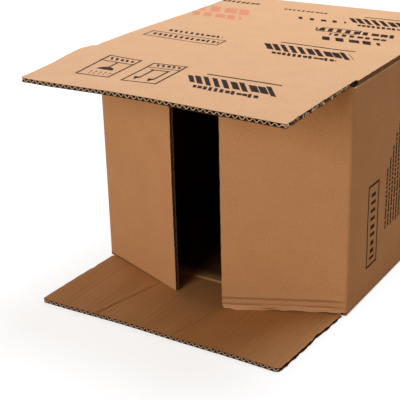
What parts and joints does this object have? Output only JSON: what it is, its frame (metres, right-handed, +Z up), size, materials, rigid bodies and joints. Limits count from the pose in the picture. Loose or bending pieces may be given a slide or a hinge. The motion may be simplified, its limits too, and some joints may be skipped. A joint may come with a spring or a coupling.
{
  "type": "corrugated carton",
  "caption": "Corrugated board carton lying on one panel, with its flaps swung out at the open end and its other end taped shut.",
  "frame": {"origin": "middle of the whole outline's base, on the surface that the carton lies on", "axes": "+Z up, -Y out of the open end, +X to the right of someone who looks into it"},
  "size_m": [0.3604, 0.5062, 0.299],
  "materials": {
    "kraft_board": "matte, with open flutes on the flaps' free edges",
    "tape_film": "smooth"
  },
  "bodies": {
    "carton": {"carton_body": "kraft_board", "sealing_tape": "tape_film"},
    "top_flap": {"top_flap": "kraft_board"},
    "bottom_flap": {"bottom_flap": "kraft_board"},
    "left_flap": {"left_flap": "kraft_board"},
    "right_flap": {"right_flap": "kraft_board"}
  },
  "joints": [
    {"name": "top_flap_fold", "type": "hinge", "parent": "carton", "child": "top_flap", "pos_m": [0, -0.1041, 0.299], "axis": [-1, 0, 0], "range_deg": [0, 175]},
    {"name": "bottom_flap_fold", "type": "hinge", "parent": "carton", "child": "bottom_flap", "pos_m": [0, -0.1041, 0], "axis": [1, 0, 0], "range_deg": [0, 175]},
    {"name": "left_flap_fold", "type": "hinge", "parent": "carton", "child": "left_flap", "pos_m": [-0.18, -0.0991, 0.1495], "axis": [0, 0, -1], "range_deg": [-20.5, 244.5]},
    {"name": "right_flap_fold", "type": "hinge", "parent": "carton", "child": "right_flap", "pos_m": [0.18, -0.0991, 0.1495], "axis": [0, 0, 1], "range_deg": [-25, 240]}
  ]
}
